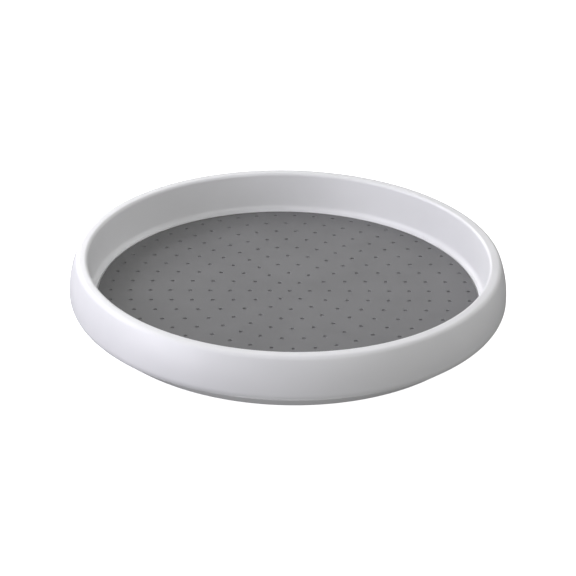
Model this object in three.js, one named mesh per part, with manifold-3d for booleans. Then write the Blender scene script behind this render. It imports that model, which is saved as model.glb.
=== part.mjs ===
// A free-standing lazy susan turntable, 12 inches across, in millimetres with +Z up.
// The origin is on the table, on the axis that the tray turns about.
//
// A white tray with a hollow rolled rim turns on a low base. A caged ring of steel balls carries it,
// and a screw and a washer hold it down through a bushing in the base. A ring closes the rim from
// below, and a grey mat lies on the tray's floor.

import * as THREE from "three";
import { mergeVertices } from "three/addons/utils/BufferGeometryUtils.js";
import Module from "manifold-3d";

const wasm = await Module();
wasm.setup();

// Overall sizes.
const TRAY_RADIUS = 152.4; // widest line of the tray, half of 12 inches
const TRAY_TOP = 45.0; // top of the rolled rim
const RING_STEPS = 48; // facets round every large ring
const SMALL_STEPS = 24; // facets round the hub's pieces and the feet
const GAP = 0.1; // between faces that touch
const ARC_STEPS = 3; // facets on most roundings
const LONG_ARC_STEPS = 4; // facets on the outer wall's bulge and on the toe
const SHORT_ARC_STEPS = 2; // facets on each side of the seam in the heel
const CUT_MARGIN = 1.0; // how far a cutting tool runs past the face it cuts

// Tray floor and mat.
const FLOOR_BOTTOM = 12.0;
const FLOOR_TOP = 14.2;
const MAT_RADIUS = 133.2;
const MAT_THICKNESS = 1.6;
const MAT_EDGE = 0.4; // chamfer round the mat's top
const MAT_CLEARANCE = 1.0; // groove between the mat and the tray's wall

// Tray wall and rim, as the outline that is seen and touched.
const WALL = 2.2; // thickness of the moulding
const FILLET_RADIUS = 4.0; // between the floor and the inner wall
const FILLET_RISE = 1.4; // the fillet starts this far above the floor
const LAND_INNER = 141.6; // flat land along the top of the rim
const LAND_OUTER = 144.8;
const CREST_INNER = 2.4; // rounding on the land's inner side
const CREST_OUTER = 3.6; // rounding on the land's outer side
const WIDEST_HEIGHT = 20.6;
const HEEL_RADIUS = 7.0; // rounding at the foot of the outer wall
const HEEL_CENTRE_HEIGHT = 20.0;
const SEAM_ANGLE = 35; // degrees round the heel where the two mouldings meet
const SEAM_OPENING = 2; // degrees of the heel left open at the seam
const LIP_WIDTH = 1.6; // width of the tray's lower edge

// Ring that closes the rim from below.
const RING_WALL = 2.0;
const RING_BOTTOM = 1.8;
const UNDERCUT_ANGLE = 50; // degrees between the underside's slope and the vertical
const TOE_RADIUS = 10.0; // rounding from the slope to the flat underside
const RING_BORE = 116.5; // opening round the base
const CORNER = 2.0;
const TONGUE_HEIGHT = 4.0; // tongue that stands inside the tray's outer wall
const TONGUE_WIDTH = 1.4;

// Ball race.
const BALL_COUNT = 18;
const BALL_RADIUS = 2.5;
const RACE_RADIUS = 75.0;
const BALL_HEIGHT = 7.1; // height of the balls' centres
const GROOVE_RADIUS = 2.72;
const RACE_HALF_WIDTH = 5.0;
const RACE_OPENING = 1.2; // from the ball's centre to each race's land
const GROOVE_STEPS = 6;
const BALL_STEPS_AROUND = 10;
const BALL_STEPS_ALONG = 6;
const CAGE_THICKNESS = 1.6;
const POCKET_RADIUS = 2.75;
const POCKET_STEPS = 12;

// Base.
const BASE_RADIUS = 112.0;
const BASE_BOTTOM = 1.2;
const PLATE = 2.6; // thickness of the base's plate at its feet
const BASE_LIP_TOP = 8.2;
const BASE_LIP_WIDTH = 2.4;
const THIN_PLATE = 1.4; // lightened plate between the feet and the hub
const FOOT_BAND_INNER = 88.0; // the plate is at full thickness outside this radius
const RIB_COUNT = 12;
const RIB_WIDTH = 1.8;

// Feet.
const FOOT_COUNT = 6;
const FOOT_CIRCLE = 99.5;
const FOOT_RADIUS = 7.0;
const FOOT_HEIGHT = 2.7;
const FOOT_CHAMFER = 0.5;
const SOCKET_CLEARANCE = 0.15;

// Hub.
const POST_RADIUS = 6.0; // tray's post, which turns in the bushing
const POST_BOTTOM = 5.0;
const SHOULDER_RADIUS = 10.5;
const SHOULDER_BOTTOM = 9.6;
const PILOT_RADIUS = 1.7;
const PILOT_TOP = 10.8;
const BUSHING_BORE = 6.06;
const BUSHING_RADIUS = 8.0;
const BUSHING_FLANGE_RADIUS = 11.0;
const BUSHING_FLANGE = 1.0;
const COLLAR_RADIUS = 11.8;
const COLLAR_TOP = 8.3;
const HUB_PLATE_BOTTOM = 5.1;
const HUB_PLATE_TOP = 7.0;
const HUB_RECESS_RADIUS = 14.6;
const HUB_WALL = 2.2;
const WASHER_RADIUS = 10.0;
const WASHER_THICKNESS = 1.2;
const SCREW_RADIUS = 1.6;
const SCREW_LENGTH = 6.6;
const SCREW_TIP = 1.0;
const HEAD_RADIUS = 3.9;
const HEAD_HEIGHT = 1.5;
const HEAD_CHAMFER = 0.9;
const RECESS_LENGTH = 3.6; // cross recess in the screw's head
const RECESS_WIDTH = 0.8;
const RECESS_DEPTH = 1.0;
const CAP_RADIUS = 14.4;
const CAP_THICKNESS = 0.7;
const CAP_SKIRT = 1.0;
const CAP_SKIRT_HEIGHT = 2.4;
const NOTCH_LENGTH = 2.0; // notch in the cap's edge, to prise it out
const NOTCH_WIDTH = 3.0;
const NOTCH_DEPTH = 0.5;

const white = new THREE.MeshStandardMaterial({ color: 0xf2f2f4, roughness: 0.42, metalness: 0 });
const greyRubber = new THREE.MeshStandardMaterial({ color: 0x7d7d7f, roughness: 0.85, metalness: 0 });
const darkRubber = new THREE.MeshStandardMaterial({ color: 0x3a3a3c, roughness: 0.9, metalness: 0 });
const acetal = new THREE.MeshStandardMaterial({ color: 0xe4e2dc, roughness: 0.5, metalness: 0 });
const steel = new THREE.MeshStandardMaterial({ color: 0xb9bbbe, roughness: 0.2, metalness: 1 });

const radians = (degrees) => (degrees * Math.PI) / 180;
const point = (r, z) => new THREE.Vector2(r, z);

// Points along an arc in the (radius, height) plane, from one angle to another, in degrees.
function arc(centreR, centreZ, radius, from, to, steps) {
  return Array.from({ length: steps + 1 }, (_, i) => {
    const angle = radians(from + ((to - from) * i) / steps);
    return point(centreR + radius * Math.cos(angle), centreZ + radius * Math.sin(angle));
  });
}

// A body of revolution about Z. The outline runs anticlockwise and closes on itself.
function turned(outline, steps) {
  const onAxis = outline[0].x === 0;
  const closed = onAxis ? outline : [...outline, outline[0].clone()];
  const geometry = new THREE.LatheGeometry(closed, steps);
  geometry.rotateX(Math.PI / 2);
  return geometry;
}

// Geometry to solid and back, for cuts and joins.
function toSolid(geometry) {
  const bare = geometry.clone();
  bare.deleteAttribute("normal");
  bare.deleteAttribute("uv");
  const merged = mergeVertices(bare, 1e-4);
  const corners = merged.index.array;
  const triVerts = [];
  for (let i = 0; i < corners.length; i += 3) {
    const [a, b, c] = corners.slice(i, i + 3);
    if (a !== b && b !== c && c !== a) triVerts.push(a, b, c);
  }
  const mesh = new wasm.Mesh({
    numProp: 3,
    vertProperties: new Float32Array(merged.attributes.position.array),
    triVerts: new Uint32Array(triVerts),
  });
  return new wasm.Manifold(mesh);
}

function toGeometry(solid) {
  const mesh = solid.getMesh();
  const geometry = new THREE.BufferGeometry();
  geometry.setAttribute("position", new THREE.BufferAttribute(mesh.vertProperties, 3));
  geometry.setIndex(new THREE.BufferAttribute(mesh.triVerts, 1));
  geometry.computeVertexNormals();
  return geometry;
}

// A cylinder standing on Z, between two heights, at a polar position.
function post(radius, bottom, top, steps, distance = 0, angle = 0) {
  const geometry = new THREE.CylinderGeometry(radius, radius, top - bottom, steps);
  geometry.rotateX(Math.PI / 2);
  geometry.translate(distance * Math.cos(angle), distance * Math.sin(angle), (top + bottom) / 2);
  return geometry;
}

// A box that runs out along a radius, between two radii and two heights.
function spoke(inner, outer, width, bottom, top, angle) {
  const geometry = new THREE.BoxGeometry(outer - inner, width, top - bottom);
  geometry.translate((inner + outer) / 2, 0, (bottom + top) / 2);
  geometry.rotateZ(angle);
  return geometry;
}

const object = new THREE.Group();

function add(name, geometry, material) {
  const mesh = new THREE.Mesh(geometry, material);
  mesh.name = name;
  object.add(mesh);
  return mesh;
}

// The rim's outline from the floor's edge, up the inner wall, over the crest and down to the heel.
// An inset moves it into the moulding.
const filletStart = MAT_RADIUS + MAT_CLEARANCE;
const filletCentreZ = FLOOR_TOP + FILLET_RISE + FILLET_RADIUS;
const crestInnerZ = TRAY_TOP - CREST_INNER;
const crestOuterZ = TRAY_TOP - CREST_OUTER;
const wallTopR = LAND_INNER - CREST_INNER;
const wallLean = 90 - THREE.MathUtils.radToDeg(
  Math.atan2(crestInnerZ - filletCentreZ, wallTopR - filletStart - FILLET_RADIUS),
);

// The outer wall bulges as one arc that is upright at the widest line and runs into the crest.
const flankRun = TRAY_RADIUS - LAND_OUTER;
const flankRise = crestOuterZ - WIDEST_HEIGHT;
const flankRadius = (flankRun ** 2 + flankRise ** 2 - CREST_OUTER ** 2) / (2 * (flankRun - CREST_OUTER));
const flankCentreR = TRAY_RADIUS - flankRadius;
const flankTop = THREE.MathUtils.radToDeg(Math.atan2(flankRise, LAND_OUTER - flankCentreR));

function rimOutline(inset) {
  const fillet = FILLET_RADIUS + inset;
  return [
    ...arc(filletStart, filletCentreZ, fillet, -90, -wallLean, ARC_STEPS),
    ...arc(LAND_INNER, crestInnerZ, CREST_INNER - inset, 180 - wallLean, 90, ARC_STEPS),
    ...arc(LAND_OUTER, crestOuterZ, CREST_OUTER - inset, 90, flankTop, ARC_STEPS),
    ...arc(flankCentreR, WIDEST_HEIGHT, flankRadius - inset, flankTop, 0, LONG_ARC_STEPS).slice(1),
  ];
}

// The groove that the balls run in, from its inner edge to its outer edge. side is 1 above the balls
// and -1 below them.
function raceGroove(side) {
  const halfAngle = THREE.MathUtils.radToDeg(Math.acos(RACE_OPENING / GROOVE_RADIUS));
  const from = side * (90 + halfAngle);
  const to = side * (90 - halfAngle);
  return arc(RACE_RADIUS, BALL_HEIGHT, GROOVE_RADIUS, from, to, GROOVE_STEPS);
}

const heelCentreR = TRAY_RADIUS - HEEL_RADIUS;
const seamR = heelCentreR + HEEL_RADIUS * Math.cos(radians(SEAM_ANGLE));
const seamZ = HEEL_CENTRE_HEIGHT - HEEL_RADIUS * Math.sin(radians(SEAM_ANGLE));

function tray() {
  const raceLand = BALL_HEIGHT + RACE_OPENING;
  const raceInner = RACE_RADIUS - RACE_HALF_WIDTH;
  const raceOuter = RACE_RADIUS + RACE_HALF_WIDTH;
  const weldInner = RING_BORE + RING_WALL + GAP;
  const heel = arc(heelCentreR, HEEL_CENTRE_HEIGHT, HEEL_RADIUS, -SEAM_ANGLE, 0, SHORT_ARC_STEPS);
  return turned(
    [
      point(0, PILOT_TOP),
      point(PILOT_RADIUS, PILOT_TOP),
      point(PILOT_RADIUS, POST_BOTTOM),
      point(POST_RADIUS, POST_BOTTOM),
      point(POST_RADIUS, SHOULDER_BOTTOM),
      point(SHOULDER_RADIUS, SHOULDER_BOTTOM),
      point(SHOULDER_RADIUS, FLOOR_BOTTOM),
      point(raceInner, FLOOR_BOTTOM),
      point(raceInner, raceLand),
      ...raceGroove(1),
      point(raceOuter, raceLand),
      point(raceOuter, FLOOR_BOTTOM),
      point(weldInner, FLOOR_BOTTOM),
      point(weldInner, FLOOR_BOTTOM - RING_WALL),
      point(weldInner + RING_WALL, FLOOR_BOTTOM - RING_WALL),
      point(weldInner + RING_WALL, FLOOR_BOTTOM),
      point(filletStart - FILLET_RADIUS, FLOOR_BOTTOM),
      ...rimOutline(WALL),
      point(seamR - LIP_WIDTH, seamZ),
      ...heel,
      ...rimOutline(0).reverse(),
      point(filletStart, FLOOR_TOP),
      point(0, FLOOR_TOP),
    ],
    RING_STEPS,
  );
}

// The ring that closes the rim: a tongue inside the tray's wall, the undercut slope, a flat
// underside and an upstand against the tray's floor.
function undersideRing() {
  const slope = 90 - UNDERCUT_ANGLE;
  const slopeTopZ = HEEL_CENTRE_HEIGHT - HEEL_RADIUS * Math.sin(radians(UNDERCUT_ANGLE));
  const slopeTopR = heelCentreR + HEEL_RADIUS * Math.cos(radians(UNDERCUT_ANGLE));
  const toeCentreZ = RING_BOTTOM + TOE_RADIUS;
  const toeTopZ = toeCentreZ - TOE_RADIUS * Math.sin(radians(UNDERCUT_ANGLE));
  const toeTopR = slopeTopR - (slopeTopZ - toeTopZ) / Math.tan(radians(slope));
  const toeCentreR = toeTopR - TOE_RADIUS * Math.cos(radians(UNDERCUT_ANGLE));
  const cornerR = RING_BORE + CORNER;
  const cornerZ = RING_BOTTOM + CORNER;
  const top = FLOOR_BOTTOM - GAP;
  const tongueOuter = seamR - LIP_WIDTH - 2 * GAP;
  const tongueInner = tongueOuter - TONGUE_WIDTH;
  const insideTopR = slopeTopR - RING_WALL * Math.cos(radians(UNDERCUT_ANGLE));
  const insideTopZ = slopeTopZ + RING_WALL * Math.sin(radians(UNDERCUT_ANGLE));
  const tongueFootZ = insideTopZ - (insideTopR - tongueInner) * Math.tan(radians(slope));
  const seamEnd = -SEAM_ANGLE - SEAM_OPENING;
  const toe = arc(toeCentreR, toeCentreZ, TOE_RADIUS, -90, -UNDERCUT_ANGLE, LONG_ARC_STEPS);
  const toeInside = arc(toeCentreR, toeCentreZ, TOE_RADIUS - RING_WALL, -UNDERCUT_ANGLE, -90, ARC_STEPS);
  return turned(
    [
      ...arc(cornerR, cornerZ, CORNER, 180, 270, ARC_STEPS),
      ...toe,
      ...arc(heelCentreR, HEEL_CENTRE_HEIGHT, HEEL_RADIUS, -UNDERCUT_ANGLE, seamEnd, SHORT_ARC_STEPS),
      point(tongueOuter, seamZ - GAP),
      point(tongueOuter, seamZ + TONGUE_HEIGHT),
      point(tongueInner, seamZ + TONGUE_HEIGHT),
      point(tongueInner, tongueFootZ),
      ...toeInside,
      point(RING_BORE + RING_WALL, RING_BOTTOM + RING_WALL),
      point(RING_BORE + RING_WALL, top),
      point(RING_BORE, top),
    ],
    RING_STEPS,
  );
}

function mat() {
  const bottom = FLOOR_TOP + GAP / 2;
  const top = FLOOR_TOP + MAT_THICKNESS;
  return turned(
    [
      point(0, bottom),
      point(MAT_RADIUS, bottom),
      point(MAT_RADIUS, top - MAT_EDGE),
      point(MAT_RADIUS - MAT_EDGE, top),
      point(0, top),
    ],
    RING_STEPS,
  );
}

// The base: a plate with an upturned edge, a race for the balls, a hub with a collar for the
// bushing, stiffening ribs underneath, and a socket for each foot.
function base() {
  const plateTop = BASE_BOTTOM + PLATE;
  const thinBottom = plateTop - THIN_PLATE;
  const raceLand = BALL_HEIGHT - RACE_OPENING;
  const raceInner = RACE_RADIUS - RACE_HALF_WIDTH;
  const raceOuter = RACE_RADIUS + RACE_HALF_WIDTH;
  const raceRoof = BALL_HEIGHT - GROOVE_RADIUS - THIN_PLATE;
  const hubWallR = HUB_RECESS_RADIUS + HUB_WALL;
  const collarBore = BUSHING_RADIUS + GAP;
  const lipInner = BASE_RADIUS - BASE_LIP_WIDTH;
  const body = turned(
    [
      point(collarBore, HUB_PLATE_BOTTOM),
      point(HUB_RECESS_RADIUS, HUB_PLATE_BOTTOM),
      point(HUB_RECESS_RADIUS, BASE_BOTTOM),
      point(hubWallR, BASE_BOTTOM),
      point(hubWallR, thinBottom),
      point(raceInner + THIN_PLATE, thinBottom),
      point(raceInner + THIN_PLATE, raceRoof),
      point(raceOuter - THIN_PLATE, raceRoof),
      point(raceOuter - THIN_PLATE, thinBottom),
      point(FOOT_BAND_INNER, thinBottom),
      point(FOOT_BAND_INNER, BASE_BOTTOM),
      point(BASE_RADIUS - THIN_PLATE / 2, BASE_BOTTOM),
      point(BASE_RADIUS, BASE_BOTTOM + THIN_PLATE / 2),
      point(BASE_RADIUS, BASE_LIP_TOP),
      point(lipInner, BASE_LIP_TOP),
      point(lipInner, plateTop),
      point(raceOuter, plateTop),
      point(raceOuter, raceLand),
      ...raceGroove(-1).reverse(),
      point(raceInner, raceLand),
      point(raceInner, plateTop),
      point(hubWallR, plateTop),
      point(hubWallR, HUB_PLATE_TOP),
      point(COLLAR_RADIUS, HUB_PLATE_TOP),
      point(COLLAR_RADIUS, COLLAR_TOP),
      point(collarBore, COLLAR_TOP),
    ],
    RING_STEPS,
  );
  let solid = toSolid(body);
  for (let i = 0; i < RIB_COUNT; i += 1) {
    const angle = (2 * Math.PI * (i + 0.5)) / RIB_COUNT;
    const inner = hubWallR - GAP;
    const outer = FOOT_BAND_INNER + GAP;
    const rib = spoke(inner, outer, RIB_WIDTH, BASE_BOTTOM + GAP, thinBottom + GAP, angle);
    solid = solid.add(toSolid(rib));
  }
  for (let i = 0; i < FOOT_COUNT; i += 1) {
    const angle = (2 * Math.PI * i) / FOOT_COUNT;
    const radius = FOOT_RADIUS + SOCKET_CLEARANCE;
    const socket = post(radius, 0, FOOT_HEIGHT + GAP, SMALL_STEPS, FOOT_CIRCLE, angle);
    solid = solid.subtract(toSolid(socket));
  }
  return toGeometry(solid);
}

// A foot: a rubber disc with a chamfered edge where it meets the table.
function foot(angle) {
  const geometry = turned(
    [
      point(0, 0),
      point(FOOT_RADIUS - FOOT_CHAMFER, 0),
      point(FOOT_RADIUS, FOOT_CHAMFER),
      point(FOOT_RADIUS, FOOT_HEIGHT),
      point(0, FOOT_HEIGHT),
    ],
    SMALL_STEPS,
  );
  geometry.translate(FOOT_CIRCLE * Math.cos(angle), FOOT_CIRCLE * Math.sin(angle), 0);
  return geometry;
}

// The cage: a flat ring with one pocket for each ball.
function ballCage() {
  const bottom = BALL_HEIGHT - CAGE_THICKNESS / 2;
  const top = BALL_HEIGHT + CAGE_THICKNESS / 2;
  const inner = RACE_RADIUS - RACE_HALF_WIDTH + GAP;
  const outer = RACE_RADIUS + RACE_HALF_WIDTH - GAP;
  const section = [point(inner, bottom), point(outer, bottom), point(outer, top), point(inner, top)];
  let solid = toSolid(turned(section, RING_STEPS));
  for (let i = 0; i < BALL_COUNT; i += 1) {
    const angle = (2 * Math.PI * i) / BALL_COUNT;
    const from = bottom - CUT_MARGIN;
    const to = top + CUT_MARGIN;
    solid = solid.subtract(toSolid(post(POCKET_RADIUS, from, to, POCKET_STEPS, RACE_RADIUS, angle)));
  }
  return toGeometry(solid);
}

function bushing() {
  const flangeBottom = COLLAR_TOP + GAP;
  const flangeTop = flangeBottom + BUSHING_FLANGE;
  return turned(
    [
      point(BUSHING_BORE, HUB_PLATE_BOTTOM),
      point(BUSHING_RADIUS, HUB_PLATE_BOTTOM),
      point(BUSHING_RADIUS, flangeBottom),
      point(BUSHING_FLANGE_RADIUS, flangeBottom),
      point(BUSHING_FLANGE_RADIUS, flangeTop),
      point(BUSHING_BORE, flangeTop),
    ],
    SMALL_STEPS,
  );
}

const washerTop = POST_BOTTOM - GAP;
const washerBottom = washerTop - WASHER_THICKNESS;

function washer() {
  const bore = SCREW_RADIUS + GAP;
  return turned(
    [
      point(bore, washerBottom),
      point(WASHER_RADIUS, washerBottom),
      point(WASHER_RADIUS, washerTop),
      point(bore, washerTop),
    ],
    SMALL_STEPS,
  );
}

// The screw: a pan head with a cross recess under the washer, and a shank up into the tray's post.
function screw() {
  const headTop = washerBottom - GAP;
  const headBottom = headTop - HEAD_HEIGHT;
  const shankTop = headTop + SCREW_LENGTH;
  const body = turned(
    [
      point(0, headBottom),
      point(HEAD_RADIUS - HEAD_CHAMFER, headBottom),
      point(HEAD_RADIUS, headBottom + HEAD_CHAMFER),
      point(HEAD_RADIUS, headTop),
      point(SCREW_RADIUS, headTop),
      point(SCREW_RADIUS, shankTop - SCREW_TIP),
      point(SCREW_RADIUS / 3, shankTop),
      point(0, shankTop),
    ],
    SMALL_STEPS,
  );
  const from = headBottom - CUT_MARGIN;
  const to = headBottom + RECESS_DEPTH;
  let solid = toSolid(body);
  for (const angle of [0, Math.PI / 2]) {
    const slot = spoke(-RECESS_LENGTH / 2, RECESS_LENGTH / 2, RECESS_WIDTH, from, to, angle);
    solid = solid.subtract(toSolid(slot));
  }
  return toGeometry(solid);
}

// The cap that snaps into the base's underside: a thin disc with a skirt and a notch to prise it out.
function hubCap() {
  const bottom = BASE_BOTTOM;
  const inside = bottom + CAP_THICKNESS;
  const top = inside + CAP_SKIRT_HEIGHT;
  const body = turned(
    [
      point(0, bottom),
      point(CAP_RADIUS, bottom),
      point(CAP_RADIUS, top),
      point(CAP_RADIUS - CAP_SKIRT, top),
      point(CAP_RADIUS - CAP_SKIRT, inside),
      point(0, inside),
    ],
    RING_STEPS,
  );
  const notchInner = CAP_RADIUS - NOTCH_LENGTH;
  const notchOuter = CAP_RADIUS + CUT_MARGIN;
  const notch = spoke(notchInner, notchOuter, NOTCH_WIDTH, bottom - CUT_MARGIN, bottom + NOTCH_DEPTH, 0);
  return toGeometry(toSolid(body).subtract(toSolid(notch)));
}

add("base", base(), white);
for (let i = 0; i < FOOT_COUNT; i += 1) {
  add(`foot_${i + 1}`, foot((2 * Math.PI * i) / FOOT_COUNT), darkRubber);
}
add("hub_bushing", bushing(), acetal);
add("hub_cap", hubCap(), white);
add("ball_cage", ballCage(), acetal);
for (let i = 0; i < BALL_COUNT; i += 1) {
  const angle = (2 * Math.PI * i) / BALL_COUNT;
  const sphere = new THREE.SphereGeometry(BALL_RADIUS, BALL_STEPS_AROUND, BALL_STEPS_ALONG);
  const ball = add(`ball_${String(i + 1).padStart(2, "0")}`, sphere, steel);
  ball.position.set(RACE_RADIUS * Math.cos(angle), RACE_RADIUS * Math.sin(angle), BALL_HEIGHT);
  ball.rotation.z = angle;
}
add("tray", tray(), white);
add("underside_ring", undersideRing(), white);
add("nonslip_mat", mat(), greyRubber);
add("pivot_washer", washer(), steel);
add("pivot_screw", screw(), steel);

export default object;
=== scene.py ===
"""A lazy susan turntable: a white tray with a rounded rim and a grey dimpled mat, on a low base.

Lengths are in metres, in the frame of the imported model: +Z up, origin on the table under the axis.
"""
import math

import bmesh
import bpy
import numpy as np
from mathutils import Matrix, Vector


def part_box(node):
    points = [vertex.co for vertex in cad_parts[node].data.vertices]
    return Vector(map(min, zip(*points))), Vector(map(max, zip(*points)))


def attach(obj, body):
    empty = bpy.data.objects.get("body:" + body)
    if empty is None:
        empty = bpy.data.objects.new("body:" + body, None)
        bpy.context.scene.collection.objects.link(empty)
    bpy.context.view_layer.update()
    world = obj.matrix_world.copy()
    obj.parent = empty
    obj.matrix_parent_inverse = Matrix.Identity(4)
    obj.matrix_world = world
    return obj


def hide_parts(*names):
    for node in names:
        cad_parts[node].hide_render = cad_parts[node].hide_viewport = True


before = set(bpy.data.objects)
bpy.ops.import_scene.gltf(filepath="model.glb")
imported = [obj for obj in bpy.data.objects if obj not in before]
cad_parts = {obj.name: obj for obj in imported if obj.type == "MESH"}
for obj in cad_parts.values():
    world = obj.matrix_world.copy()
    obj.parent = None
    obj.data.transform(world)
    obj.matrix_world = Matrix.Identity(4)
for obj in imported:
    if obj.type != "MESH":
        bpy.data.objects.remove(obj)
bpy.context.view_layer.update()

MM = 0.001

# Places and sizes that the frame gives.
TRAY_LOW, TRAY_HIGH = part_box("tray")
RING_LOW, RING_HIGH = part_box("underside_ring")
MAT_LOW, MAT_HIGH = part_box("nonslip_mat")
BASE_LOW, BASE_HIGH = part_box("base")
CAP_LOW, CAP_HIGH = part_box("hub_cap")
BUSHING_LOW, BUSHING_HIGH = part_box("hub_bushing")
WASHER_LOW, WASHER_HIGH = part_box("pivot_washer")
SCREW_LOW, SCREW_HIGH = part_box("pivot_screw")
CAGE_LOW, CAGE_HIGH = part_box("ball_cage")
BALL_LOW, BALL_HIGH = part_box("ball_01")
FOOT_LOW, FOOT_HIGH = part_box("foot_1")

TRAY_RADIUS = TRAY_HIGH.x
RIM_TOP = TRAY_HIGH.z
POST_BOTTOM = TRAY_LOW.z
MAT_RADIUS = MAT_HIGH.x
MAT_TOP = MAT_HIGH.z
MAT_BOTTOM = MAT_LOW.z
RING_BOTTOM = RING_LOW.z
RING_TOP = RING_HIGH.z
BASE_RADIUS = BASE_HIGH.x
BASE_BOTTOM = BASE_LOW.z
FOOT_RADIUS = (FOOT_HIGH.x - FOOT_LOW.x) / 2
FOOT_CIRCLE = (FOOT_HIGH.x + FOOT_LOW.x) / 2
FOOT_TOP = FOOT_HIGH.z
RACE_RADIUS = (BALL_HIGH.x + BALL_LOW.x) / 2
BALL_RADIUS = (BALL_HIGH.y - BALL_LOW.y) / 2
BALL_HEIGHT = (BALL_HIGH.z + BALL_LOW.z) / 2
FEET = sorted(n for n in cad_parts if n.startswith("foot_"))
BALLS = sorted(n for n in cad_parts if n.startswith("ball_") and n != "ball_cage")

# The mouldings' own details.
AROUND = 288  # steps round the large pieces
HUB_AROUND = 144
SMALL_AROUND = 96
BALL_AROUND = 40
GAP = 0.1 * MM
EDGE = 0.25 * MM  # rounding on the edges of the mouldings
MERGE = 1e-7  # points closer than this are one
WALL = 2.2 * MM
FLOOR_TOP = MAT_BOTTOM - GAP / 2
FLOOR_BOTTOM = FLOOR_TOP - WALL
MAT_GROOVE = 1.0 * MM
FILLET = 4.0 * MM
FILLET_RISE = 1.4 * MM
LAND_INNER = TRAY_RADIUS - 10.8 * MM  # flat land along the top of the rim
LAND_OUTER = TRAY_RADIUS - 7.6 * MM
CREST_INNER = 2.4 * MM
CREST_OUTER = 3.6 * MM
WIDEST_HEIGHT = 20.6 * MM
HEEL = 7.0 * MM
HEEL_HEIGHT = 20.0 * MM
SEAM_ANGLE = 35.0
UNDERCUT_ANGLE = 50.0
LIP = 1.6 * MM
RING_WALL = 2.0 * MM
RING_BORE = 116.5 * MM
CORNER = 2.0 * MM
TOE = 10.0 * MM
TONGUE = 1.4 * MM
RACE_HALF_WIDTH = 5.0 * MM
RACE_OPENING = 1.2 * MM  # from the balls' centres to each race's land
RACE_GROOVE = 2.72 * MM


# ---------------------------------------------------------------- surfaces


def arc(centre_r, centre_z, radius, start, stop, steps):
    """Points (r, z) on a circle in the profile's plane, from one angle to another in degrees."""
    angle = np.radians(np.linspace(start, stop, steps + 1))
    return np.column_stack([centre_r + radius * np.cos(angle), centre_z + radius * np.sin(angle)])


def softened(corners, steps=3):
    """A profile from rows (r, z, rounding). A corner with a rounding becomes an arc that touches both
    of its edges, with one more point a rounding away on each edge, so that the flats shade flat."""
    corners = np.asarray(corners, float)
    points = []
    for before, here, after in zip(np.roll(corners, 1, 0), corners, np.roll(corners, -1, 0)):
        radius = here[2]
        if radius == 0:
            points.append(here[:2])
            continue
        back = before[:2] - here[:2]
        ahead = after[:2] - here[:2]
        back_room = np.hypot(*back)
        ahead_room = np.hypot(*ahead)
        back /= back_room
        ahead /= ahead_room
        half = math.acos(np.clip(back @ ahead, -1, 1)) / 2
        reach = radius / math.tan(half)
        centre = here[:2] + (back + ahead) / np.hypot(*(back + ahead)) * radius / math.sin(half)
        first = here[:2] + back * reach - centre
        swing = math.pi - 2 * half
        side = np.sign(back[0] * ahead[1] - back[1] * ahead[0])
        turns = -side * np.linspace(0, swing, steps + 1)
        if back_room > 2 * (reach + radius):
            points.append(here[:2] + back * (reach + radius))
        cos, sin = np.cos(turns), np.sin(turns)
        along = first[0] * cos - first[1] * sin
        up = first[0] * sin + first[1] * cos
        points.extend(centre + np.column_stack([along, up]))
        if ahead_room > 2 * (reach + radius):
            points.append(here[:2] + ahead * (reach + radius))
    return np.array(points)


def polar(radius, angle, height):
    """Points from arrays of radius, angle and height about the Z axis."""
    radius, angle, height = np.broadcast_arrays(radius, angle, height)
    return np.stack([radius * np.cos(angle), radius * np.sin(angle), height], -1)


def evenly(count, first=0.0):
    """Angles that divide a full turn evenly."""
    return first + 2 * math.pi * np.arange(count) / count


def swept(profile, angles):
    """A grid of points: the profile's point (r, z) at angle t lies at (r cos t, r sin t, z). The angles
    are one row for all the points or one row for each of them."""
    profile = np.asarray(profile)
    return polar(profile[:, :1], np.atleast_2d(angles), profile[:, 1:])


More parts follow.
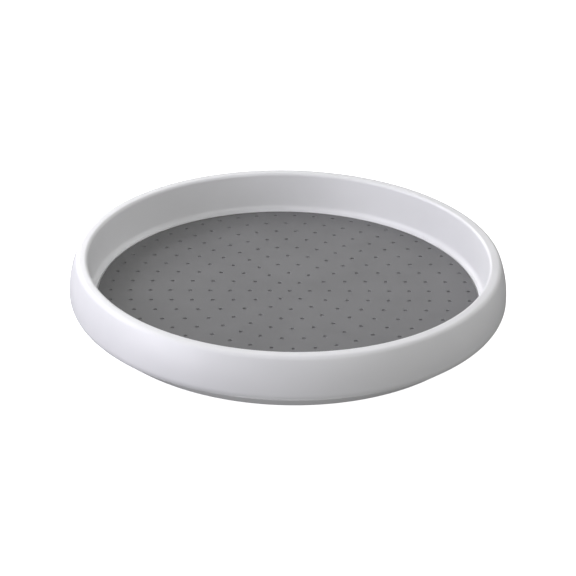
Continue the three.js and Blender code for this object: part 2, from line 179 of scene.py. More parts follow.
class Shell:
    """A closed surface gathered from several grids whose edges share their points."""

    def __init__(self):
        self.points = []
        self.faces = []
        self.count = 0

    def add(self, points, faces):
        """Adds points and the faces between them, which count from the first of these points."""
        points = np.asarray(points).reshape(-1, 3)
        self.points.append(points)
        self.faces.append(self.count + np.asarray(faces))
        self.count += len(points)

    def grid(self, points, close_rows=False):
        """Adds a grid of points (rows, columns) whose columns go right round. Point (i, j) makes a
        quad with the next row and the next column."""
        rows, columns = points.shape[:2]
        row = np.arange(rows if close_rows else rows - 1)[:, None]
        column = np.arange(columns)[None, :]
        beside = (column + 1) % columns
        here = row * columns
        below = (row + 1) % rows * columns
        corners = [here + column, here + beside, below + beside, below + column]
        self.add(points, np.stack(corners, -1).reshape(-1, 4))

    def cells(self, cells):
        """Adds every cell's own grid, for points shaped (cells, rows, columns)."""
        for cell in cells:
            self.grid(cell)

    def band(self, inner, outer):
        """Adds triangles between two rings of points that start at the same angle: each step along
        either ring makes one triangle, in the order of the angles where the steps end."""
        ends = np.concatenate([np.arange(1, len(ring) + 1) / len(ring) for ring in (inner, outer)])
        order = np.argsort(ends, kind="stable")
        on_inner = order < len(inner)
        i = np.cumsum(on_inner) - on_inner
        o = np.cumsum(~on_inner) - ~on_inner
        ahead = np.where(on_inner, (i + 1) % len(inner), len(inner) + (o + 1) % len(outer))
        triangles = np.column_stack([i % len(inner), len(inner) + o % len(outer), ahead])
        self.add(np.vstack([inner, outer]), triangles)

    def finished(self, name, centre=(0.0, 0.0)):
        """The mesh object: doubles merged, so that rows on the axis close into poles, and normals
        turned outwards."""
        mesh = bpy.data.meshes.new(name)
        points = np.vstack(self.points) + [*centre, 0.0]
        mesh.from_pydata(points.tolist(), [], [face for faces in self.faces for face in faces.tolist()])
        work = bmesh.new()
        work.from_mesh(mesh)
        bmesh.ops.remove_doubles(work, verts=work.verts, dist=MERGE)
        bmesh.ops.recalc_face_normals(work, faces=work.faces)
        work.to_mesh(mesh)
        work.free()
        mesh.shade_smooth()
        obj = bpy.data.objects.new(name, mesh)
        bpy.context.scene.collection.objects.link(obj)
        return obj


def turned(name, profile, around=AROUND, centre=(0.0, 0.0)):
    """A body of revolution. A profile that starts on the axis also ends there, and any other closes on
    itself."""
    shell = Shell()
    shell.grid(swept(profile, evenly(around)), close_rows=profile[0][0] > MERGE)
    return shell.finished(name, centre)


def keyed_angles(radius, sectors, columns, across, first_angle=0.0):
    """Angles of a grid's columns at each radius. In each sector the middle columns stay at fixed
    distances across the sector's middle line, so that a rib or a slot keeps its width, and the others
    are spread evenly over the rest."""
    radius = np.asarray(radius)[:, None]
    half = math.pi / sectors
    spread = (columns - len(across) + 1) // 2
    middle = np.arcsin(np.clip(np.asarray(across)[None, :] / radius, -1, 1)).clip(-half, half)
    share = np.arange(spread)[None, :] / spread
    before = -half + (middle[:, :1] + half) * share
    after = middle[:, -1:] + (half - middle[:, -1:]) * share[:, 1:]
    sector = np.hstack([before, middle, after])
    return np.hstack([first_angle + sector + 2 * half * i for i in range(sectors)])


def keyed_mask(sectors, columns, mask):
    """A value for each column of keyed_angles: the mask on each sector's middle columns, 0 elsewhere."""
    spread = (columns - len(mask) + 1) // 2
    return np.tile(np.concatenate([np.zeros(spread), mask, np.zeros(spread - 1)]), sectors)


def cell_ring(count, inner, outer, hole_circle, hole, side_steps, steps=1, first_angle=0.0, far_side=None):
    """A flat ring cut into equal cells, each with a round hole. A cell's first row of points runs round
    its own four-sided edge and closes in on the hole in even steps of radius and angle. The next rows
    follow the hole's profile of (distance from the hole's centre, height). With a far side the last
    row is the cell's edge again, at that height. The points are shaped (cells, rows, columns)."""
    hole = np.asarray(hole)
    half = math.pi / count
    side = np.linspace(0, 1, side_steps, endpoint=False)
    still = np.zeros(side_steps)
    across_ring = (outer - inner) * side
    edge_radius = np.concatenate([still + outer, outer - across_ring, still + inner, inner + across_ring])
    edge_angle = half * np.concatenate([2 * side - 1, still + 1, 1 - 2 * side, still - 1])
    bearing = evenly(4 * side_steps, -math.pi / 4)
    out = hole_circle + hole[:, :1] * np.cos(bearing)
    across = hole[:, :1] * np.sin(bearing)
    radius = np.hypot(out, across)
    angle = np.arctan2(across, out)
    share = np.linspace(0, 1, steps, endpoint=False)[:, None]
    radius = np.vstack([edge_radius + (radius[0] - edge_radius) * share, radius])
    angle = np.vstack([edge_angle + (angle[0] - edge_angle) * share, angle])
    height = np.concatenate([np.full(steps, hole[0, 1]), hole[:, 1]])
    if far_side is not None:
        radius = np.vstack([radius, edge_radius])
        angle = np.vstack([angle, edge_angle])
        height = np.append(height, far_side)
    centre_angle = evenly(count, first_angle)[:, None, None]
    return polar(radius[None], centre_angle + angle[None], height[None, :, None])


# ---------------------------------------------------------------- the tray and its ring

fillet_start = MAT_RADIUS + MAT_GROOVE
fillet_z = FLOOR_TOP + FILLET_RISE + FILLET
crest_inner_z = RIM_TOP - CREST_INNER
crest_outer_z = RIM_TOP - CREST_OUTER
flank_run = TRAY_RADIUS - LAND_OUTER
flank_rise = crest_outer_z - WIDEST_HEIGHT
FLANK = (flank_run**2 + flank_rise**2 - CREST_OUTER**2) / (2 * (flank_run - CREST_OUTER))
flank_r = TRAY_RADIUS - FLANK
heel_r = TRAY_RADIUS - HEEL
seam_r = heel_r + HEEL * math.cos(math.radians(SEAM_ANGLE))
seam_z = HEEL_HEIGHT - HEEL * math.sin(math.radians(SEAM_ANGLE))
wall_rise = crest_inner_z - fillet_z
wall_run = LAND_INNER - CREST_INNER - fillet_start - FILLET
WALL_LEAN = math.degrees(math.atan2(wall_run, wall_rise))
FLANK_TOP = math.degrees(math.atan2(flank_rise, LAND_OUTER - flank_r))


def rim_outline(inset):
    """The rim's outline from the floor's edge up the inner wall, over the crest and down the outer wall
    to its widest line. An inset moves it into the moulding."""
    land = LAND_OUTER - LAND_INNER
    return np.vstack([
        arc(fillet_start, fillet_z, FILLET + inset, -90, -WALL_LEAN, 10),
        arc(LAND_INNER, crest_inner_z, CREST_INNER - inset, 180 - WALL_LEAN, 90, 12),
        [(LAND_INNER + land / 4, RIM_TOP - inset), (LAND_OUTER - land / 4, RIM_TOP - inset)],
        arc(LAND_OUTER, crest_outer_z, CREST_OUTER - inset, 90, FLANK_TOP, 10),
        arc(flank_r, WIDEST_HEIGHT, FLANK - inset, FLANK_TOP, 0, 16)[1:],
    ])


def plain(points):
    """Rows (r, z) as rows (r, z, 0): points that softened leaves as they are."""
    return np.column_stack([points, np.zeros(len(points))])


def race_groove(middle):
    """The groove that the balls run in, as an arc round their centres: 90 above them, -90 below."""
    half = math.degrees(math.acos(RACE_OPENING / RACE_GROOVE))
    return arc(RACE_RADIUS, BALL_HEIGHT, RACE_GROOVE, middle + half, middle - half, 12)


def tray():
    """The tray, from the hub's post out to the rim and back over the floor."""
    pilot_radius = 1.7 * MM
    pilot_top = 10.8 * MM
    post = 6.0 * MM
    shoulder = 10.5 * MM
    shoulder_bottom = 9.6 * MM
    land = BALL_HEIGHT + RACE_OPENING
    weld = RING_BORE + RING_WALL + GAP
    profile = softened(np.vstack([
        [(0, pilot_top, 0), (pilot_radius, pilot_top, 0), (pilot_radius, POST_BOTTOM, EDGE)],
        [(post, POST_BOTTOM, EDGE), (post, shoulder_bottom, EDGE), (shoulder, shoulder_bottom, EDGE)],
        [(shoulder, FLOOR_BOTTOM, EDGE), (RACE_RADIUS - RACE_HALF_WIDTH, FLOOR_BOTTOM, EDGE)],
        [(RACE_RADIUS - RACE_HALF_WIDTH, land, EDGE)],
        plain(race_groove(90)),
        [(RACE_RADIUS + RACE_HALF_WIDTH, land, EDGE), (RACE_RADIUS + RACE_HALF_WIDTH, FLOOR_BOTTOM, EDGE)],
        [(weld, FLOOR_BOTTOM, 0), (weld, FLOOR_BOTTOM - RING_WALL, EDGE)],
        [(weld + RING_WALL, FLOOR_BOTTOM - RING_WALL, EDGE), (weld + RING_WALL, FLOOR_BOTTOM, EDGE)],
        [(fillet_start - FILLET, FLOOR_BOTTOM, EDGE)],
        plain(rim_outline(WALL)),
        [(seam_r - LIP, seam_z, EDGE), (seam_r, seam_z, EDGE / 2)],
        plain(arc(heel_r, HEEL_HEIGHT, HEEL, -SEAM_ANGLE + 3, -2, 8)),
        plain(rim_outline(0)[::-1]),
        [(fillet_start, FLOOR_TOP, EDGE), (0, FLOOR_TOP, 0)],
    ]))
    return turned("tray_moulding", profile)


def underside_ring():
    """The ring that closes the rim: a tongue inside the tray's wall, the undercut, a flat underside and
    an upstand against the tray's floor."""
    tilt = math.radians(UNDERCUT_ANGLE)
    slope_z = HEEL_HEIGHT - HEEL * math.sin(tilt)
    slope_r = heel_r + HEEL * math.cos(tilt)
    toe_z = RING_BOTTOM + TOE
    toe_top_z = toe_z - TOE * math.sin(tilt)
    toe_r = slope_r - (slope_z - toe_top_z) * math.tan(tilt) - TOE * math.cos(tilt)
    tongue_outer = seam_r - LIP - 2 * GAP
    tongue_inner = tongue_outer - TONGUE
    inside_r = slope_r - RING_WALL * math.cos(tilt)
    inside_z = slope_z + RING_WALL * math.sin(tilt)
    tongue_foot = inside_z - (inside_r - tongue_inner) / math.tan(tilt)
    top = FLOOR_BOTTOM - GAP
    inner = RING_BORE + RING_WALL
    profile = softened(np.vstack([
        plain(arc(RING_BORE + CORNER, RING_BOTTOM + CORNER, CORNER, 180, 270, 8)),
        plain(arc(toe_r, toe_z, TOE, -90, -UNDERCUT_ANGLE, 12)),
        plain(arc(heel_r, HEEL_HEIGHT, HEEL, -UNDERCUT_ANGLE, -SEAM_ANGLE - 4, 4)),
        [(seam_r, seam_z - GAP, EDGE / 2), (tongue_outer, seam_z - GAP, 0)],
        [(tongue_outer, RING_TOP, EDGE), (tongue_inner, RING_TOP, EDGE), (tongue_inner, tongue_foot, EDGE)],
        plain(arc(toe_r, toe_z, TOE - RING_WALL, -UNDERCUT_ANGLE, -90, 8)),
        [(inner, RING_BOTTOM + RING_WALL, 2 * EDGE), (inner, top, EDGE), (RING_BORE, top, EDGE)],
    ]))
    return turned("rim_underside", profile)


# ---------------------------------------------------------------- the mat

DOT_RINGS = 9
DOT_PITCH = 14.0 * MM
DOT_RADIUS = 1.35 * MM
DOT_DEPTH = 0.8 * MM
PATTERN_TURN = math.radians(2.16)
PATTERN_SHIFT = 1.5 * MM  # the mat is cut a little off its pattern's centre
MAT_EDGE = 0.4 * MM


def dimple_profile():
    """A dimple from the flat round it down to its floor, as (distance from its centre, height)."""
    lip = 0.2 * MM
    draft = 0.15 * MM
    floor = MAT_TOP - DOT_DEPTH
    return np.vstack([
        [(DOT_RADIUS + 3 * lip, MAT_TOP)],
        arc(DOT_RADIUS + lip, MAT_TOP - lip, lip, 90, 180, 3),
        [(DOT_RADIUS - draft, floor + lip)],
        [(DOT_RADIUS - draft - lip / 2, floor + lip / 4), (DOT_RADIUS / 2, floor), (0, floor)],
    ])


def next_edge(edge, radius, count, first):
    """The ring of points at a radius whose first point is the one nearest in angle to the edge's."""
    start = math.atan2(edge[0, 1], edge[0, 0])
    step = 2 * math.pi / count
    return polar(radius, evenly(count, first + round((start - first) / step) * step), MAT_TOP)


def mat():
    """A disc whose top is cut into cells with a dimple each: one cell at the centre and 6 k cells in
    ring k. Neighbouring rings have different numbers of points, so a narrow band of triangles joins
    them. The pattern is turned and shifted a little against the disc."""
    side_steps = 4
    margin = 0.5 * MM
    hole = dimple_profile()
    shell = Shell()
    around = 6 * side_steps
    turns = evenly(around, PATTERN_TURN - math.pi / 6)
    shell.grid(swept(np.vstack([[(DOT_PITCH / 2 - margin, MAT_TOP)], hole]), turns))
    edge = polar(DOT_PITCH / 2 - margin, turns, MAT_TOP)
    for ring in range(1, DOT_RINGS + 1):
        inner = (ring - 0.5) * DOT_PITCH + margin
        outer = (ring + 0.5) * DOT_PITCH - margin
        if ring == DOT_RINGS:
            outer = (ring + 0.35) * DOT_PITCH
        shell.cells(cell_ring(6 * ring, inner, outer, ring * DOT_PITCH, hole, side_steps, 1, PATTERN_TURN))
        around = 6 * ring * side_steps
        shell.band(edge, next_edge(edge, inner, around, PATTERN_TURN - math.pi / (6 * ring)))
        edge = polar(outer, evenly(around, PATTERN_TURN - math.pi / (6 * ring)), MAT_TOP)
    for block in shell.points:
        block[:, 0] += PATTERN_SHIFT
    first = PATTERN_TURN - math.pi / (6 * DOT_RINGS)
    rim = np.vstack([
        arc(MAT_RADIUS - MAT_EDGE, MAT_TOP - MAT_EDGE, MAT_EDGE, 90, 0, 4),
        arc(MAT_RADIUS - EDGE, MAT_BOTTOM + EDGE, EDGE, 0, -90, 3),
        [(0, MAT_BOTTOM)],
    ])
    shell.grid(np.concatenate([(edge + [PATTERN_SHIFT, 0, 0])[None], swept(rim, evenly(around, first))]))
    return shell.finished("dimpled_mat")


# ---------------------------------------------------------------- the base and its feet

PLATE = 2.6 * MM
THIN_PLATE = 1.4 * MM
LIP_TOP = BASE_HIGH.z
LIP_WIDTH = 2.4 * MM
FOOT_BAND = 88.0 * MM  # outside this radius the plate keeps its full thickness
SOCKET = FOOT_RADIUS + 0.15 * MM
SOCKET_TOP = FOOT_TOP + GAP
HUB_RECESS = 14.6 * MM
HUB_WALL = 2.2 * MM
HUB_PLATE_BOTTOM = BUSHING_LOW.z
HUB_PLATE_TOP = 7.0 * MM
BUSHING_BORE = 6.06 * MM
BUSHING_RADIUS = 8.0 * MM
COLLAR_RADIUS = 11.8 * MM
COLLAR_TOP = 8.3 * MM
RIB_SECTORS = 12
RIB_ACROSS = np.array([-1.15, -0.95, -0.9, -0.7, 0, 0.7, 0.9, 0.95, 1.15]) * MM
RIB_MASK = np.array([0, 0.05, 0.85, 1, 1, 1, 0.85, 0.05, 0])


def base():
    """The base in three grids that share their edges. The first turns the profile from the underside's
    outer edge up over the lip, the plate, the ball race and the hub, and down to the hub's rim. The
    second is the ribbed underside: its height is the turned profile's, or the ribs' lower face where a
    column's rib mask asks for it and it is lower. The third is the flat band with the foot sockets."""
    plate_top = BASE_BOTTOM + PLATE
    thin_bottom = plate_top - THIN_PLATE
    land = BALL_HEIGHT - RACE_OPENING
    race_inner = RACE_RADIUS - RACE_HALF_WIDTH
    race_outer = RACE_RADIUS + RACE_HALF_WIDTH
    race_roof = BALL_HEIGHT - RACE_GROOVE - THIN_PLATE
    hub_wall = HUB_RECESS + HUB_WALL
    collar_bore = BUSHING_RADIUS + GAP
    lip_inner = BASE_RADIUS - LIP_WIDTH
    bottom_edge = BASE_RADIUS - THIN_PLATE / 2
    socket_band = FOOT_BAND + 2 * MM
    hub_rim = HUB_RECESS + HUB_WALL / 2
    upper = softened(np.vstack([
        plain(arc(bottom_edge, BASE_BOTTOM + THIN_PLATE / 2, THIN_PLATE / 2, -90, 0, 5)),
        [(BASE_RADIUS, LIP_TOP, 3 * EDGE), (lip_inner, LIP_TOP, 2 * EDGE), (lip_inner, plate_top, 2 * EDGE)],
        [(race_outer, plate_top, EDGE), (race_outer, land, EDGE)],
        plain(race_groove(-90)),
        [(race_inner, land, EDGE), (race_inner, plate_top, EDGE)],
        [(hub_wall, plate_top, EDGE), (hub_wall, HUB_PLATE_TOP, 2 * EDGE)],
        [(COLLAR_RADIUS, HUB_PLATE_TOP, EDGE), (COLLAR_RADIUS, COLLAR_TOP, EDGE)],
        [(collar_bore, COLLAR_TOP, EDGE), (collar_bore, HUB_PLATE_BOTTOM, EDGE)],
        [(HUB_RECESS, HUB_PLATE_BOTTOM, EDGE)],
        [(HUB_RECESS, BASE_BOTTOM, EDGE), (hub_rim, BASE_BOTTOM, 0)],
    ]))
    shell = Shell()
    shell.grid(swept(upper, evenly(AROUND)))
    lower = softened([
        (hub_rim, BASE_BOTTOM, 0),
        (hub_wall, BASE_BOTTOM, EDGE),
        (hub_wall, thin_bottom, EDGE),
        (race_inner + THIN_PLATE, thin_bottom, EDGE),
        (race_inner + THIN_PLATE, race_roof, EDGE),
        (race_outer - THIN_PLATE, race_roof, EDGE),
        (race_outer - THIN_PLATE, thin_bottom, EDGE),
        (FOOT_BAND, thin_bottom, EDGE),
        (FOOT_BAND, BASE_BOTTOM, EDGE),
        (socket_band, BASE_BOTTOM, 0),
    ])
    columns = AROUND // RIB_SECTORS
    angles = keyed_angles(lower[:, 0], RIB_SECTORS, columns, RIB_ACROSS, math.pi / RIB_SECTORS)
    angles[[0, -1]] = evenly(AROUND)
    drop = lower[:, 1:] - (BASE_BOTTOM + GAP)
    height = lower[:, 1:] - np.maximum(drop, 0) * keyed_mask(RIB_SECTORS, columns, RIB_MASK)
    shell.grid(polar(lower[:, :1], angles, height))
    hole = softened([
        (SOCKET + 4 * EDGE, BASE_BOTTOM, 0),
        (SOCKET, BASE_BOTTOM, EDGE),
        (SOCKET, SOCKET_TOP, EDGE),
        (0, SOCKET_TOP, 0),
    ])
    feet = len(FEET)
    shell.cells(cell_ring(feet, socket_band, bottom_edge, FOOT_CIRCLE, hole, AROUND // feet, 16))
    return shell.finished("ribbed_base")


def foot(number, low, high):
    """A rubber foot: a rounded edge, a shallow groove round its face and a dished middle."""
    groove = 4.9 * MM
    groove_half = 0.5 * MM
    groove_lip = 0.15 * MM
    groove_root = 0.1 * MM
    dish = 0.35 * MM
    dish_floor = 2.4 * MM
    dish_edge = 3.4 * MM
    soft_edge = 0.5 * MM
    face = low.z
    profile = softened([
        (0, face + dish, 0),
        (dish_floor, face + dish, soft_edge),
        (dish_edge, face, soft_edge),
        (groove - groove_half, face, groove_lip),
        (groove - groove_half / 2, face + dish, groove_root),
        (groove + groove_half / 2, face + dish, groove_root),
        (groove + groove_half, face, groove_lip),
        (FOOT_RADIUS, face, soft_edge),
        (FOOT_RADIUS, high.z, EDGE),
        (0, high.z, 0),
    ])
    centre = ((low.x + high.x) / 2, (low.y + high.y) / 2)
    return turned(f"rubber_foot_{number}", profile, SMALL_AROUND, centre)


# ---------------------------------------------------------------- the hub and the bearing


def hub_cap():
    """The cap: a shallow dished face, a skirt, and a notch to prise it out. The notch lifts the face's
    outer rows and the skirt's foot where a column's mask asks for it."""
    wall = 0.7 * MM
    skirt_wall = 1.0 * MM
    notch_reach = 2.0 * MM
    inmost_row = 2.0 * MM
    radius = CAP_HIGH.x
    face = CAP_LOW.z
    inside = face + wall
    skirt = radius - skirt_wall
    dish = 0.2 * MM
    notch_depth = 0.5 * MM
    notch_inner = radius - notch_reach
    across = np.array([-1.7, -1.5, -1.45, 0, 1.45, 1.5, 1.7]) * MM
    mask = np.array([0, 0, 1, 1, 1, 0, 0])
    columns = SMALL_AROUND
    profile = np.vstack([
        [(inmost_row, face + dish), (9.0 * MM, face + dish)],
        [(9.6 * MM, face + dish * 0.85), (10.2 * MM, face + dish * 0.15), (10.8 * MM, face)],
        [(notch_inner - GAP, face), (notch_inner, face)],
        arc(radius - EDGE, face + EDGE, EDGE, -90, 0, 3),
        [(radius, face + notch_depth), (radius, face + 2 * notch_depth)],
        arc(radius - EDGE, CAP_HIGH.z - EDGE, EDGE, 0, 90, 3),
        arc(skirt + EDGE, CAP_HIGH.z - EDGE, EDGE, 90, 180, 3),
        [(skirt, inside + EDGE), (skirt - EDGE, inside), (inmost_row, inside)],
    ])
    angles = keyed_angles(profile[:, 0], 1, columns, across)
    outside = (profile[:, 0] > notch_inner - GAP / 2) & (profile[:, 1] < face + notch_depth)
    lift = (face + notch_depth - profile[:, 1]) * outside
    height = profile[:, 1:] + lift[:, None] * keyed_mask(1, columns, mask)
    shell = Shell()
    poles = [polar(0.0, angles[0], face + dish)[None], polar(0.0, angles[-1], inside)[None]]
    shell.grid(np.concatenate([poles[0], polar(profile[:, :1], angles, height), poles[1]]))
    return shell.finished("snap_in_cap")


def bushing():
    """The flanged sleeve, with a lead-in at both ends of its bore."""
    flange_bottom = COLLAR_TOP + GAP
    return turned("flanged_bushing", softened([
        (BUSHING_BORE, HUB_PLATE_BOTTOM, EDGE),
        (BUSHING_RADIUS, HUB_PLATE_BOTTOM, EDGE),
        (BUSHING_RADIUS, flange_bottom, EDGE / 2),
        (BUSHING_HIGH.x, flange_bottom, EDGE),
        (BUSHING_HIGH.x, BUSHING_HIGH.z, EDGE),
        (BUSHING_BORE, BUSHING_HIGH.z, 2 * EDGE),
    ]), HUB_AROUND)


def washer():
    """A stamped washer: rolled over on its upper edge and sharper on the lower one."""
    bore = 1.7 * MM
    return turned("stamped_washer", softened([
        (bore, WASHER_LOW.z, EDGE / 2),
        (WASHER_HIGH.x, WASHER_LOW.z, EDGE / 2),
        (WASHER_HIGH.x, WASHER_HIGH.z, 2 * EDGE),
        (bore, WASHER_HIGH.z, 2 * EDGE),
    ]), HUB_AROUND)


def cage():
    """The cage: cells with a pocket each, closed by the ring's inner and outer walls."""
    round_off = 0.15 * MM
    pocket = 2.75 * MM
    bottom, top = CAGE_LOW.z, CAGE_HIGH.z
    outer = CAGE_HIGH.x
    inner = 2 * RACE_RADIUS - outer
    hole = np.vstack([
        [(pocket + 4 * round_off, bottom)],
        arc(pocket + round_off, bottom + round_off, round_off, 270, 180, 3),
        arc(pocket + round_off, top - round_off, round_off, 180, 90, 3),
        [(pocket + 4 * round_off, top)],
    ])
    pockets = len(BALLS)
    shell = Shell()
    across = (inner + round_off, outer - round_off)
    shell.cells(cell_ring(pockets, *across, RACE_RADIUS, hole, AROUND // pockets, 4, far_side=top))
    for wall, side in ((outer, 1), (inner, -1)):
        corner = wall - side * round_off
        turn = 0 if side > 0 else 180
        profile = np.vstack([
            arc(corner, bottom + round_off, round_off, turn - side * 90, turn, 3),
            arc(corner, top - round_off, round_off, turn, turn + side * 90, 3),
        ])
        shell.grid(swept(profile, evenly(AROUND, -math.pi / pockets)))
    return shell.finished("pocketed_cage")


def ball(number, low, high):
    """A bearing ball: a half circle turned about its own axis."""
    profile = arc(0, BALL_HEIGHT, BALL_RADIUS, -90, 90, BALL_AROUND // 2)
    centre = ((low.x + high.x) / 2, (low.y + high.y) / 2)
    return turned(f"steel_ball_{number:02d}", profile, BALL_AROUND, centre)


def screw():
    """The screw in two grids. The head's is a turned pan with a cross recess, sunk where a column's
    mask asks for it and shallower towards the arms' ends. The shank's radius at height z and angle t
    falls from the crest to the root of the thread with the fraction of z / pitch - t / (2 pi), and
    runs out to a point."""
    head_height = 1.5 * MM
    head_radius = SCREW_HIGH.x
    face = SCREW_LOW.z
    head_top = face + head_height
    core = 1.6 * MM
    arm = 1.8 * MM
    arm_half = 0.4 * MM
    recess = 0.9 * MM
    across = np.array([-1, -0.97, 0, 0.97, 1]) * arm_half
    mask = np.array([0, 1, 1, 1, 0])
    columns = 24
    middle = arm_half * math.sqrt(2)
    crown = np.linspace(middle, arm, 6)
    pan = np.vstack([
        np.column_stack([crown, face + 0 * crown]),
        [(arm, face), (arm + GAP / 2, face)],
        arc(head_radius - 4 * EDGE, face + 4 * EDGE, 4 * EDGE, -90, 0, 6),
        arc(head_radius - EDGE / 2, head_top - EDGE / 2, EDGE / 2, 0, 90, 2),
        [(core, head_top)],
    ])
    share = np.clip((arm - pan[:, 0]) / (arm - middle), 0, 1)
    depth = recess * (0.35 + 0.65 * share) * (np.arange(len(pan)) < len(crown))
    angles = keyed_angles(pan[:, 0], 4, columns, across)
    height = pan[:, 1:] + depth[:, None] * keyed_mask(4, columns, mask)
    height[0] = face + depth[0]
    pole = polar(0.0, angles[0], face + depth[0])[None]
    shell = Shell()
    around = 4 * columns
    angles[-1] = evenly(around, angles[-1, 0])
    shell.grid(np.concatenate([pole, polar(pan[:, :1], angles, height)]))
    pitch = 1.1 * MM
    thread = 0.35 * MM
    tip = 1.0 * MM
    plain_shank = 0.4 * MM
    thread_start = 0.6 * MM
    rows = 80
    rise = np.linspace(0, SCREW_HIGH.z - head_top, rows)[:, None]
    turn = angles[-1][None, :]
    fraction = (rise / pitch - turn / (2 * math.pi)) % 1
    crest = np.clip(1.6 * (1 - np.abs(2 * fraction - 1)) - 0.3, 0, 1)
    length = rise[-1]
    taper = np.clip((length - rise) / tip, 0, 1)
    started = np.clip((rise - plain_shank) / thread_start, 0, 1)
    radius = core - thread * (1 - crest) * started
    radius = radius * (0.15 + 0.85 * taper)
    shank = polar(radius, turn, head_top + rise)
    tip_point = polar(0.0, angles[-1], SCREW_HIGH.z)[None]
    shell.grid(np.concatenate([shank, tip_point]))
    return shell.finished("pan_head_screw")


# ---------------------------------------------------------------- materials


class Field:
    """A value that varies over a surface: one socket of a material's node tree. Arithmetic on it adds
    Math nodes."""

    def __init__(self, socket):
        self.socket = socket

    @classmethod
    def make(cls, tree, kind, settings, inputs, output=0):
        """Adds a node: its settings first, then the values or links of its sockets."""
        node = tree.nodes.new(kind)
        for name, value in settings.items():
            setattr(node, name, value)
        for name, value in inputs.items():
            if isinstance(value, Field):
                tree.links.new(value.socket, node.inputs[name])
            else:
                node.inputs[name].default_value = value
        return cls(node.outputs[output])

    def math(self, operation, *values):
        """The result of one Math node."""
        tree = self.socket.id_data
        return Field.make(tree, "ShaderNodeMath", {"operation": operation}, dict(enumerate(values)))

    def __add__(self, other):
        return self.math("ADD", self, other)

    __radd__ = __add__

    def __mul__(self, other):
        return self.math("MULTIPLY", self, other)

    __rmul__ = __mul__

    def between(self, low, high):
        """0 below low, 1 above high and a smooth rise from one to the other."""
        settings = {"interpolation_type": "SMOOTHSTEP"}
        inputs = {"Value": self, "From Min": low, "From Max": high}
        return Field.make(self.socket.id_data, "ShaderNodeMapRange", settings, inputs)


class Finish:
    """A material built round one Principled BSDF, with Object coordinates to hand."""

    def __init__(self, name, **constants):
        self.material = bpy.data.materials.new(name)
        self.material.use_nodes = True
        self.tree = self.material.node_tree
        self.shader = self.tree.nodes["Principled BSDF"]
        for socket, value in constants.items():
            self.shader.inputs[socket.replace("_", " ")].default_value = value
        self.place = self.node("ShaderNodeTexCoord", output="Object")

    def node(self, kind, output=0, **inputs):
        """Adds a node whose inputs are given by name."""
        return Field.make(self.tree, kind, {}, inputs, output)

    def noise(self, size, detail=2.0, roughness=0.5):
        """Noise between 0 and 1 whose features are about one size across, in metres."""
        look = {"Detail": detail, "Roughness": roughness}
        return self.node("ShaderNodeTexNoise", Vector=self.place, Scale=1 / size, **look)

    def mix(self, factor, low, high):
        """A colour between two others. A Mix node's colours are its inputs 6 and 7 and its output 2."""
        inputs = {0: factor, 6: (*low, 1.0), 7: (*high, 1.0)}
        return Field.make(self.tree, "ShaderNodeMix", {"data_type": "RGBA"}, inputs, 2)

    def feed(self, **fields):
        """Links fields to the shader's inputs."""
        for socket, field in fields.items():
            self.tree.links.new(field.socket, self.shader.inputs[socket.replace("_", " ")])

    def bump(self, height, distance):
        """Turns the shading by a height field that rises by the distance, in metres."""
        self.feed(Normal=self.node("ShaderNodeBump", Height=height, Distance=distance, Strength=1.0))


def white_polypropylene():
    """Satin white moulding: a very fine spark-eroded grain, faint flow marks and a trace of handling."""
    finish = Finish("white_polypropylene", Roughness=0.4, IOR=1.49)
    flow = finish.noise(60 * MM, detail=3.0)
    grain = finish.noise(0.35 * MM, detail=2.0)
    smudge = finish.noise(14 * MM, detail=4.0, roughness=0.6).between(0.45, 0.75)
    colour = finish.mix(flow.between(0.3, 0.7), (0.735, 0.735, 0.74), (0.765, 0.765, 0.77))
    finish.feed(Base_Color=colour, Roughness=0.36 + 0.08 * smudge + 0.04 * grain)
    finish.bump(grain, 0.012 * MM)
    return finish.material


def grey_elastomer():
    """Matte grey mat rubber: a fine pebbled grain and a cloudy tone."""
    finish = Finish("grey_elastomer", Roughness=0.8, IOR=1.45)
    cloud = finish.noise(35 * MM, detail=4.0)
    grain = finish.noise(0.5 * MM, detail=3.0, roughness=0.6)
    colour = finish.mix(cloud.between(0.3, 0.7), (0.163, 0.163, 0.164), (0.178, 0.178, 0.179))
    finish.feed(Base_Color=colour, Roughness=0.72 + 0.16 * grain)
    finish.bump(grain, 0.03 * MM)
    return finish.material


def dark_rubber():
    """Dark foot rubber."""
    finish = Finish("dark_rubber", Roughness=0.85)
    grain = finish.noise(0.4 * MM, detail=3.0)
    cloud = finish.noise(6 * MM).between(0.3, 0.7)
    colour = finish.mix(cloud, (0.035, 0.035, 0.036), (0.055, 0.055, 0.057))
    finish.feed(Base_Color=colour, Roughness=0.75 + 0.2 * grain)
    finish.bump(grain, 0.03 * MM)
    return finish.material


def natural_acetal():
    """Slightly yellow, waxy bearing plastic."""
    finish = Finish("natural_acetal", Roughness=0.4, IOR=1.48)
    grain = finish.noise(0.3 * MM)
    colour = finish.mix(finish.noise(8 * MM).between(0.3, 0.7), (0.70, 0.69, 0.64), (0.76, 0.75, 0.70))
    finish.feed(Base_Color=colour, Roughness=0.34 + 0.12 * grain)
    finish.bump(grain, 0.01 * MM)
    return finish.material


def bearing_steel():
    """Polished balls with the faintest haze."""
    finish = Finish("bearing_steel", Metallic=1.0, Roughness=0.12)
    haze = finish.noise(1.5 * MM, detail=3.0)
    colour = finish.mix(haze, (0.56, 0.57, 0.58), (0.66, 0.67, 0.69))
    finish.feed(Base_Color=colour, Roughness=0.08 + 0.08 * haze)
    return finish.material


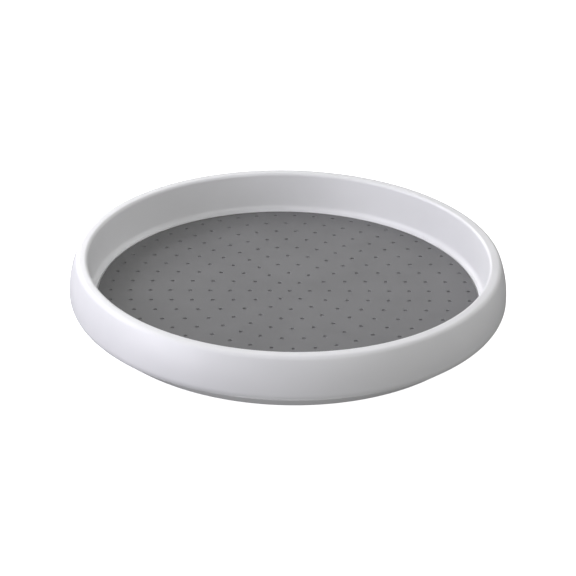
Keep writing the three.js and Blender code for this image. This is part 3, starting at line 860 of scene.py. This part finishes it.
def zinc_plate():
    """Dull bright zinc on the screw and the washer."""
    finish = Finish("zinc_plate", Metallic=1.0, Roughness=0.35)
    bloom = finish.noise(1.2 * MM, detail=4.0, roughness=0.7)
    colour = finish.mix(bloom, (0.42, 0.43, 0.45), (0.62, 0.63, 0.66))
    finish.feed(Base_Color=colour, Roughness=0.28 + 0.2 * bloom)
    finish.bump(bloom, 0.01 * MM)
    return finish.material


# ---------------------------------------------------------------- assembly

WHITE = white_polypropylene()
GREY = grey_elastomer()
RUBBER = dark_rubber()
ACETAL = natural_acetal()
STEEL = bearing_steel()
ZINC = zinc_plate()


def place(obj, material, slot, body, *nodes):
    """Gives a piece its material, hangs it on the body that it rides on and hides the model's parts that it
    stands for.
    """
    obj.data.materials.append(material)
    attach(obj, body)
    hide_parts(*nodes)


place(tray(), WHITE, "white_plastic", "turntable", "tray")
place(underside_ring(), WHITE, "white_plastic", "turntable", "underside_ring")
place(mat(), GREY, "grey_mat", "turntable", "nonslip_mat")
place(washer(), ZINC, "zinc_steel", "turntable", "pivot_washer")
place(screw(), ZINC, "zinc_steel", "turntable", "pivot_screw")
place(base(), WHITE, "white_plastic", "base", "base")
place(hub_cap(), WHITE, "white_plastic", "base", "hub_cap")
place(bushing(), ACETAL, "acetal", "base", "hub_bushing")
for number, name in enumerate(FEET, 1):
    place(foot(number, *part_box(name)), RUBBER, "foot_rubber", "base", name)
place(cage(), ACETAL, "acetal", "cage", "ball_cage")
for number, name in enumerate(BALLS, 1):
    place(ball(number, *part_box(name)), STEEL, "ball_steel", name, name)


# ---------------------------------------------------------------- camera, floor and light

CAMERA_ELEVATION = math.radians(27.1)
CAMERA_DISTANCE = 1.278
CAMERA_ROLL = math.radians(1.27)
AIM = Vector((0.0, 0.0, MAT_TOP + 2.1 * MM))
LENS = 113.7
SENSOR_WIDTH = 36.0
FARTHEST = 100.0


def camera():
    """A long lens in front, above the rim, turned a little about its own axis."""
    data = bpy.data.cameras.new("camera")
    data.lens = LENS
    data.sensor_width = SENSOR_WIDTH
    data.clip_end = FARTHEST
    obj = bpy.data.objects.new("camera", data)
    bpy.context.scene.collection.objects.link(obj)
    towards = Vector((0.0, math.cos(CAMERA_ELEVATION), -math.sin(CAMERA_ELEVATION)))
    turn = towards.to_track_quat("-Z", "Y").to_matrix().to_4x4()
    roll = Matrix.Rotation(CAMERA_ROLL, 4, "Z")
    obj.matrix_world = Matrix.Translation(AIM - towards * CAMERA_DISTANCE) @ turn @ roll
    bpy.context.scene.camera = obj


NEUTRAL = (1.0, 1.0, 1.0)
COOL = (0.92, 0.91, 1.0)
SOFTBOX_SIZE = 0.9
SOFTBOX_DISTANCE = 1.6
ROOM_STRENGTH = 0.13
FLOOR_HALF = 40.0
FLOOR_WHITE = 0.9
FLOOR_GLOW = 0.85

# Each light's azimuth and elevation in degrees, its power and its colour.
SOFTBOXES = {
    "left_window": (180, 30, 11, COOL),
    "low_front_left": (210, 10, 13.5, COOL),
    "high_left": (180, 55, 4.5, NEUTRAL),
    "front_right": (300, 30, 8.3, NEUTRAL),
    "back_left": (120, 30, 11.8, NEUTRAL),
    "back_right": (30, 30, 2.6, NEUTRAL),
    "high_back_right": (45, 55, 4.3, NEUTRAL),
    "table_glow": (0, -90, 4, NEUTRAL),
}


def softbox(name, azimuth, elevation, power, colour):
    """A square light that faces the turntable from a direction in degrees."""
    data = bpy.data.lights.new(name, "AREA")
    data.size = SOFTBOX_SIZE
    data.energy = power
    data.color = colour
    obj = bpy.data.objects.new(name, data)
    bpy.context.scene.collection.objects.link(obj)
    a = math.radians(azimuth)
    e = math.radians(elevation)
    away = Vector((math.cos(e) * math.cos(a), math.cos(e) * math.sin(a), math.sin(e)))
    facing = (-away).to_track_quat("-Z", "Y").to_matrix().to_4x4()
    obj.matrix_world = Matrix.Translation(away * SOFTBOX_DISTANCE) @ facing


def studio():
    """A glowing white floor under soft light, which comes mostly from the left and from behind. The
    floor neither lights the turntable nor shows in it, and table_glow stands in for it on the faces
    turned down. It throws no shade on the softboxes' light either."""
    scene = bpy.context.scene
    scene.view_settings.view_transform = "Standard"
    world = bpy.data.worlds.new("dim_room")
    world.use_nodes = True
    background = world.node_tree.nodes["Background"]
    background.inputs["Color"].default_value = (1, 1, 1, 1)
    background.inputs["Strength"].default_value = ROOM_STRENGTH
    scene.world = world
    mesh = bpy.data.meshes.new("floor")
    corners = [(x * FLOOR_HALF, y * FLOOR_HALF, 0) for x, y in ((-1, -1), (1, -1), (1, 1), (-1, 1))]
    mesh.from_pydata(corners, [], [(0, 1, 2, 3)])
    floor = bpy.data.objects.new("floor", mesh)
    scene.collection.objects.link(floor)
    white = (FLOOR_WHITE, FLOOR_WHITE, FLOOR_WHITE, 1)
    glow = {"Emission_Color": (1, 1, 1, 1), "Emission_Strength": FLOOR_GLOW}
    paper = Finish("white_paper", Roughness=0.9, Base_Color=white, **glow)
    floor.data.materials.append(paper.material)
    floor.visible_diffuse = False
    floor.visible_glossy = False
    floor.visible_shadow = False
    for name, light in SOFTBOXES.items():
        softbox(name, *light)


camera()
studio()
